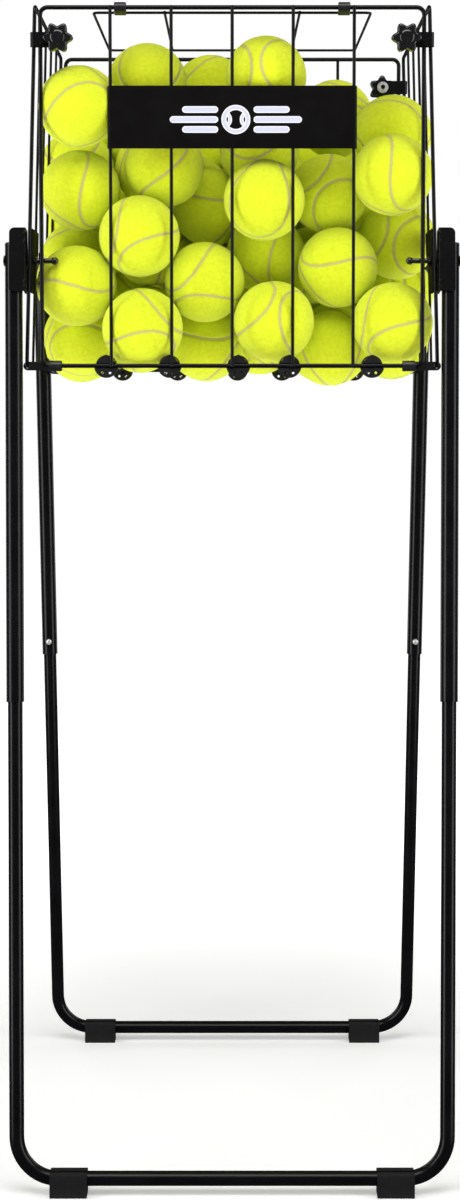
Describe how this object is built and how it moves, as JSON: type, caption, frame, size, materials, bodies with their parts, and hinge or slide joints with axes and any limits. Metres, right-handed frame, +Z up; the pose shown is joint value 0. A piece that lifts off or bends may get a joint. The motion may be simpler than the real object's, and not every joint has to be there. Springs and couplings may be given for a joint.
{
  "type": "tennis ball hopper",
  "caption": "Wire tennis ball basket with a hinged wire lid and a floor of spinning rods, on two U-shaped leg frames that swing up to become handles.",
  "frame": {"origin": "on the floor, under the centre of the basket, with all feet standing on it", "axes": "+X to the basket's right, -Y to the front with the sign plate, +Z up"},
  "size_m": [0.3762, 0.424, 0.9636],
  "materials": {
    "powder_coat": "satin black powder coat with soft highlights",
    "strap_steel": "black finished sheet steel, semi-gloss",
    "black_sheet": null,
    "knob_plastic": "glossy black moulded plastic",
    "clip_plastic": "satin black moulded nylon",
    "bright_steel": "bright zinc-plated steel",
    "foot_rubber": "dark grey moulded rubber, matt"
  },
  "bodies": {
    "basket": {"front_panel": "powder_coat", "back_panel": "powder_coat", "side_panel_right": "powder_coat", "side_panel_left": "powder_coat", "sign_plate": "black_sheet", "corner_strap_front_right": "strap_steel", "corner_strap_front_left": "strap_steel", "corner_strap_rear_right": "strap_steel", "corner_strap_rear_left": "strap_steel", "bottom_clip_front_right": "clip_plastic", "bottom_clip_front_left": "clip_plastic", "bottom_clip_rear_right": "clip_plastic", "bottom_clip_rear_left": "clip_plastic", "pivot_bolt_front_right": "bright_steel", "pivot_bolt_front_left": "bright_steel", "pivot_bolt_rear_right": "bright_steel", "pivot_bolt_rear_left": "bright_steel"},
    "lid_frame": {"lid": "powder_coat", "lid_clip_left": "clip_plastic", "lid_clip_right": "clip_plastic"},
    "knob_front_right": {"star_knob_front_right": "knob_plastic"},
    "knob_front_left": {"star_knob_front_left": "knob_plastic"},
    "knob_rear_right": {"star_knob_rear_right": "knob_plastic"},
    "knob_rear_left": {"star_knob_rear_left": "knob_plastic"},
    "rod_carriage_1": {"roller_cap_front_1": "clip_plastic", "roller_cap_rear_1": "clip_plastic"},
    "rod_1": {"roller_rod_1": "powder_coat"},
    "rod_carriage_2": {"roller_cap_front_2": "clip_plastic", "roller_cap_rear_2": "clip_plastic"},
    "rod_2": {"roller_rod_2": "powder_coat"},
    "rod_carriage_3": {"roller_cap_front_3": "clip_plastic", "roller_cap_rear_3": "clip_plastic"},
    "rod_3": {"roller_rod_3": "powder_coat"},
    "rod_carriage_4": {"roller_cap_front_4": "clip_plastic", "roller_cap_rear_4": "clip_plastic"},
    "rod_4": {"roller_rod_4": "powder_coat"},
    "rod_carriage_5": {"roller_cap_front_5": "clip_plastic", "roller_cap_rear_5": "clip_plastic"},
    "rod_5": {"roller_rod_5": "powder_coat"},
    "front_legs": {"upper_tube_front_left": "powder_coat", "upper_tube_front_right": "powder_coat", "leg_bracket_front_left": "strap_steel", "leg_bracket_front_right": "strap_steel", "foot_front_left": "foot_rubber", "foot_front_right": "foot_rubber", "lower_frame_front": "powder_coat"},
    "button_front_left": {"snap_button_front_left": "bright_steel"},
    "button_front_right": {"snap_button_front_right": "bright_steel"},
    "rear_legs": {"upper_tube_rear_left": "powder_coat", "upper_tube_rear_right": "powder_coat", "leg_bracket_rear_left": "strap_steel", "leg_bracket_rear_right": "strap_steel", "foot_rear_left": "foot_rubber", "foot_rear_right": "foot_rubber", "lower_frame_rear": "powder_coat"},
    "button_rear_left": {"snap_button_rear_left": "bright_steel"},
    "button_rear_right": {"snap_button_rear_right": "bright_steel"}
  },
  "joints": [
    {"name": "lid_hinge", "type": "hinge", "parent": "basket", "child": "lid_frame", "pos_m": [0, -0.13, 0.959], "axis": [1, 0, 0], "range_deg": [0, 225]},
    {"name": "knob_front_right_turn", "type": "hinge", "parent": "basket", "child": "knob_front_right", "pos_m": [0.141, -0.13, 0.933], "axis": [0, -1, 0], "continuous": true},
    {"name": "knob_front_left_turn", "type": "hinge", "parent": "basket", "child": "knob_front_left", "pos_m": [-0.141, -0.13, 0.933], "axis": [0, -1, 0], "continuous": true},
    {"name": "knob_rear_right_turn", "type": "hinge", "parent": "basket", "child": "knob_rear_right", "pos_m": [0.141, 0.13, 0.933], "axis": [0, 1, 0], "continuous": true},
    {"name": "knob_rear_left_turn", "type": "hinge", "parent": "basket", "child": "knob_rear_left", "pos_m": [-0.141, 0.13, 0.933], "axis": [0, 1, 0], "continuous": true},
    {"name": "rod_1_slide", "type": "slide", "parent": "basket", "child": "rod_carriage_1", "axis": [1, 0, 0], "range_m": [-0.0125, 0.0115]},
    {"name": "rod_1_spin", "type": "hinge", "parent": "rod_carriage_1", "child": "rod_1", "pos_m": [-0.1035, 0, 0.669], "axis": [0, 1, 0], "continuous": true},
    {"name": "rod_2_slide", "type": "slide", "parent": "basket", "child": "rod_carriage_2", "axis": [1, 0, 0], "range_m": [-0.0125, 0.0115]},
    {"name": "rod_2_spin", "type": "hinge", "parent": "rod_carriage_2", "child": "rod_2", "pos_m": [-0.0515, 0, 0.669], "axis": [0, 1, 0], "continuous": true},
    {"name": "rod_3_slide", "type": "slide", "parent": "basket", "child": "rod_carriage_3", "axis": [1, 0, 0], "range_m": [-0.017, 0.007]},
    {"name": "rod_3_spin", "type": "hinge", "parent": "rod_carriage_3", "child": "rod_3", "pos_m": [0.005, 0, 0.669], "axis": [0, 1, 0], "continuous": true},
    {"name": "rod_4_slide", "type": "slide", "parent": "basket", "child": "rod_carriage_4", "axis": [1, 0, 0], "range_m": [-0.007, 0.017]},
    {"name": "rod_4_spin", "type": "hinge", "parent": "rod_carriage_4", "child": "rod_4", "pos_m": [0.047, 0, 0.669], "axis": [0, 1, 0], "continuous": true},
    {"name": "rod_5_slide", "type": "slide", "parent": "basket", "child": "rod_carriage_5", "axis": [1, 0, 0], "range_m": [-0.023, 0.001]},
    {"name": "rod_5_spin", "type": "hinge", "parent": "rod_carriage_5", "child": "rod_5", "pos_m": [0.115, 0, 0.669], "axis": [0, 1, 0], "continuous": true},
    {"name": "front_legs_swing", "type": "hinge", "parent": "basket", "child": "front_legs", "pos_m": [0, -0.124, 0.755], "axis": [-1, 0, 0], "range_deg": [0, 180]},
    {"name": "button_front_left_press", "type": "slide", "parent": "front_legs", "child": "button_front_left", "axis": [0, -0.9944, 0.1061], "range_m": [0, 0.003], "stiffness_N_per_m": 600, "springref_m": -0.002},
    {"name": "button_front_right_press", "type": "slide", "parent": "front_legs", "child": "button_front_right", "axis": [0, -0.9944, 0.1061], "range_m": [0, 0.003], "stiffness_N_per_m": 600, "springref_m": -0.002},
    {"name": "rear_legs_swing", "type": "hinge", "parent": "basket", "child": "rear_legs", "pos_m": [0, 0.124, 0.755], "axis": [1, 0, 0], "range_deg": [0, 180]},
    {"name": "button_rear_left_press", "type": "slide", "parent": "rear_legs", "child": "button_rear_left", "axis": [0, 0.9944, 0.1061], "range_m": [0, 0.003], "stiffness_N_per_m": 600, "springref_m": -0.002},
    {"name": "button_rear_right_press", "type": "slide", "parent": "rear_legs", "child": "button_rear_right", "axis": [0, 0.9944, 0.1061], "range_m": [0, 0.003], "stiffness_N_per_m": 600, "springref_m": -0.002}
  ]
}
